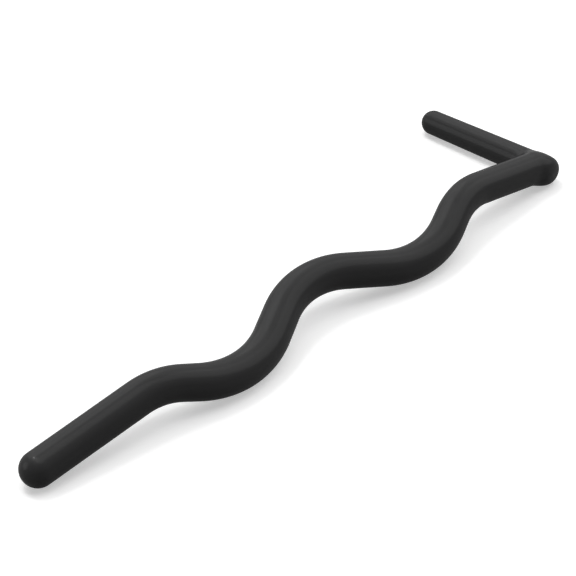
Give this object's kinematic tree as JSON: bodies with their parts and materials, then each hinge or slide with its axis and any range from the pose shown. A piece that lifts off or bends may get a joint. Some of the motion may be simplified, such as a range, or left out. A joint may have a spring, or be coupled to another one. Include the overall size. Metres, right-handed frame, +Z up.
{
  "type": "wave training bar",
  "caption": "Thick round hand bar bent into a long wave, with a thinner straight cross handle fixed square across its far end, all covered in matt black rubber.",
  "frame": {"origin": "centre of the whole object's footprint, on the floor that it lies on", "axes": "+X along the bar from its domed near end to the cross handle, +Y along the handle from its heel to its tip, +Z up"},
  "size_m": [0.6534, 0.1814, 0.0483],
  "materials": {
    "core_steel": "bare drawn steel rod",
    "weld_steel": "rough weld bead, dull",
    "stud_steel": "zinc-plated, satin",
    "black_rubber": "matt black with a soft sheen and a fine moulded grain"
  },
  "bodies": {
    "root": {"bar_core": "core_steel", "handle_core": "core_steel", "junction_weld": "weld_steel", "bar_end_stud": "stud_steel", "handle_tip_stud": "stud_steel", "bar_sleeve": "black_rubber", "junction_boot": "black_rubber", "handle_sleeve": "black_rubber", "bar_end_cap": "black_rubber", "handle_tip_cap": "black_rubber"}
  },
  "joints": []
}
